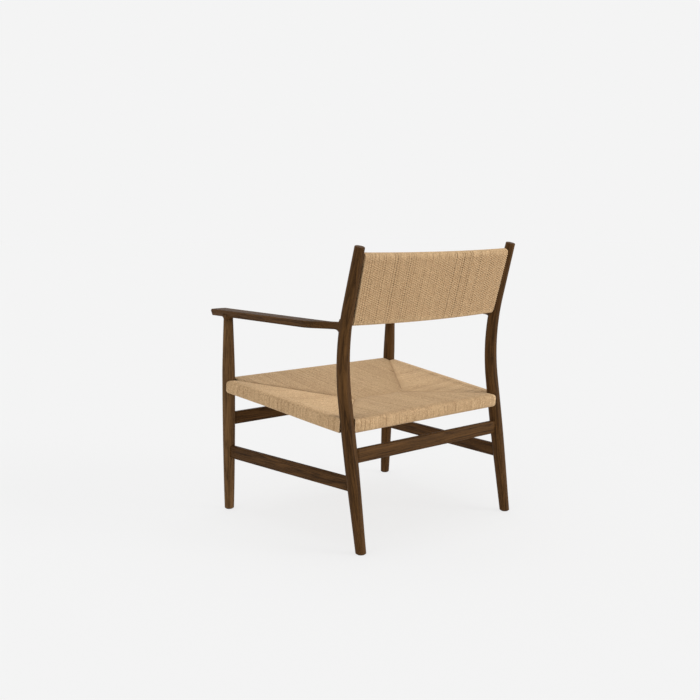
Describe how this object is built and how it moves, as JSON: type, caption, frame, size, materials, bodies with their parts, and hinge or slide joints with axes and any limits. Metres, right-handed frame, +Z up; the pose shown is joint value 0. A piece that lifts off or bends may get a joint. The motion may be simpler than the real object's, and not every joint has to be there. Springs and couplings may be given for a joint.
{
  "type": "low wooden armchair",
  "caption": "Low open-frame armchair of turned and bent dark oak, with armrests and stretchers, and a seat and backrest wrapped in paper cord.",
  "frame": {"origin": "on the floor, midway between the chair's left and right and midway between its front and back", "axes": "+X to the sitter's left, the chair faces -Y, +Z up"},
  "size_m": [0.6608, 0.6098, 0.7696],
  "materials": {
    "dark_oak": "smoked oak, satin oil",
    "plain_hardwood": "unfinished hardwood, hidden inside joints and cord",
    "paper_cord": "natural unbleached twisted paper, matt with a slight wax sheen",
    "tack_steel": "plain wire steel",
    "glide_nylon": "dark brown moulded nylon"
  },
  "bodies": {
    "root": {"front_leg_left": "dark_oak", "front_leg_right": "dark_oak", "rear_leg_left": "dark_oak", "rear_leg_right": "dark_oak", "armrest_left": "dark_oak", "armrest_right": "dark_oak", "armrest_dowel_left": "plain_hardwood", "armrest_dowel_right": "plain_hardwood", "side_stretcher_left": "dark_oak", "side_stretcher_right": "dark_oak", "front_stretcher": "dark_oak", "back_stretcher": "dark_oak", "side_seat_rail_left": "plain_hardwood", "side_seat_rail_right": "plain_hardwood", "front_seat_rail": "plain_hardwood", "rear_seat_rail": "plain_hardwood", "upper_back_rail": "plain_hardwood", "lower_back_rail": "plain_hardwood", "seat_weave": "paper_cord", "back_weave": "paper_cord", "cord_tacks": "tack_steel", "glide_front_left": "glide_nylon", "glide_front_right": "glide_nylon", "glide_rear_left": "glide_nylon", "glide_rear_right": "glide_nylon"}
  },
  "joints": []
}
